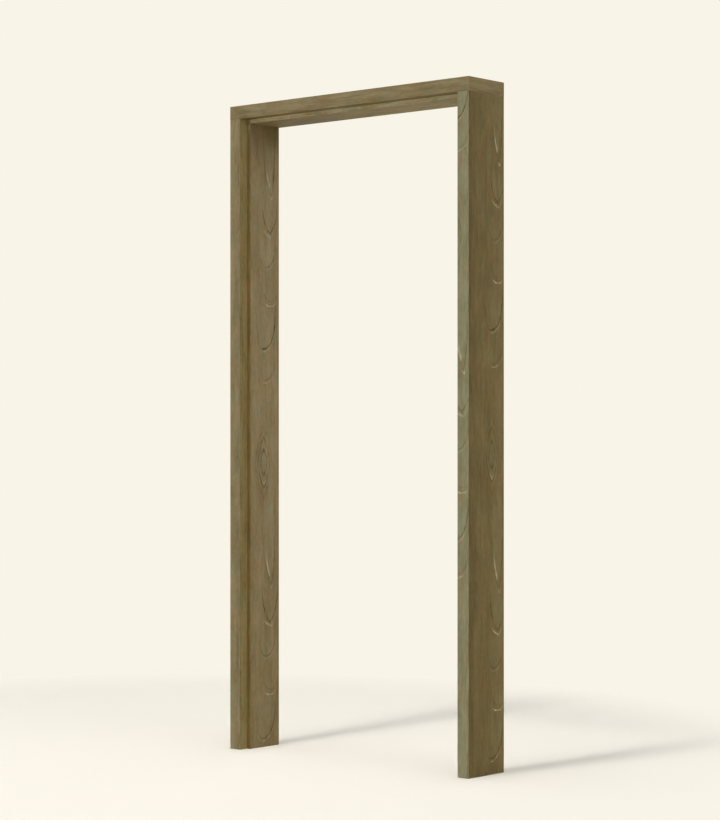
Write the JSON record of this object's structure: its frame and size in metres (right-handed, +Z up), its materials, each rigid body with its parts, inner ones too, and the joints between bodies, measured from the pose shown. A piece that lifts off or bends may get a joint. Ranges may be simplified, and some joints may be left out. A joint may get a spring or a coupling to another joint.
{
  "type": "door frame",
  "caption": "Rebated timber door frame that lines a doorway: jambs carry a notched head across their tops, joined by countersunk screws and fluted dowels.",
  "frame": {"origin": "on the floor, midway between the jambs' outer faces and between the front and back faces", "axes": "+X across the doorway to the right seen from the front, +Y from the rebated front to the back, +Z up"},
  "size_m": [0.99, 0.175, 2.1],
  "materials": {
    "jamb_wood": "satin veneer, grey-brown, figured",
    "head_wood": "satin veneer, grey-brown, straight grain",
    "screw_steel": "bright zinc plate",
    "dowel_wood": "bare fluted beech"
  },
  "bodies": {
    "root": {"left_jamb": "jamb_wood", "right_jamb": "jamb_wood", "head": "head_wood", "corner_screws": "screw_steel", "corner_dowels": "dowel_wood"}
  },
  "joints": []
}
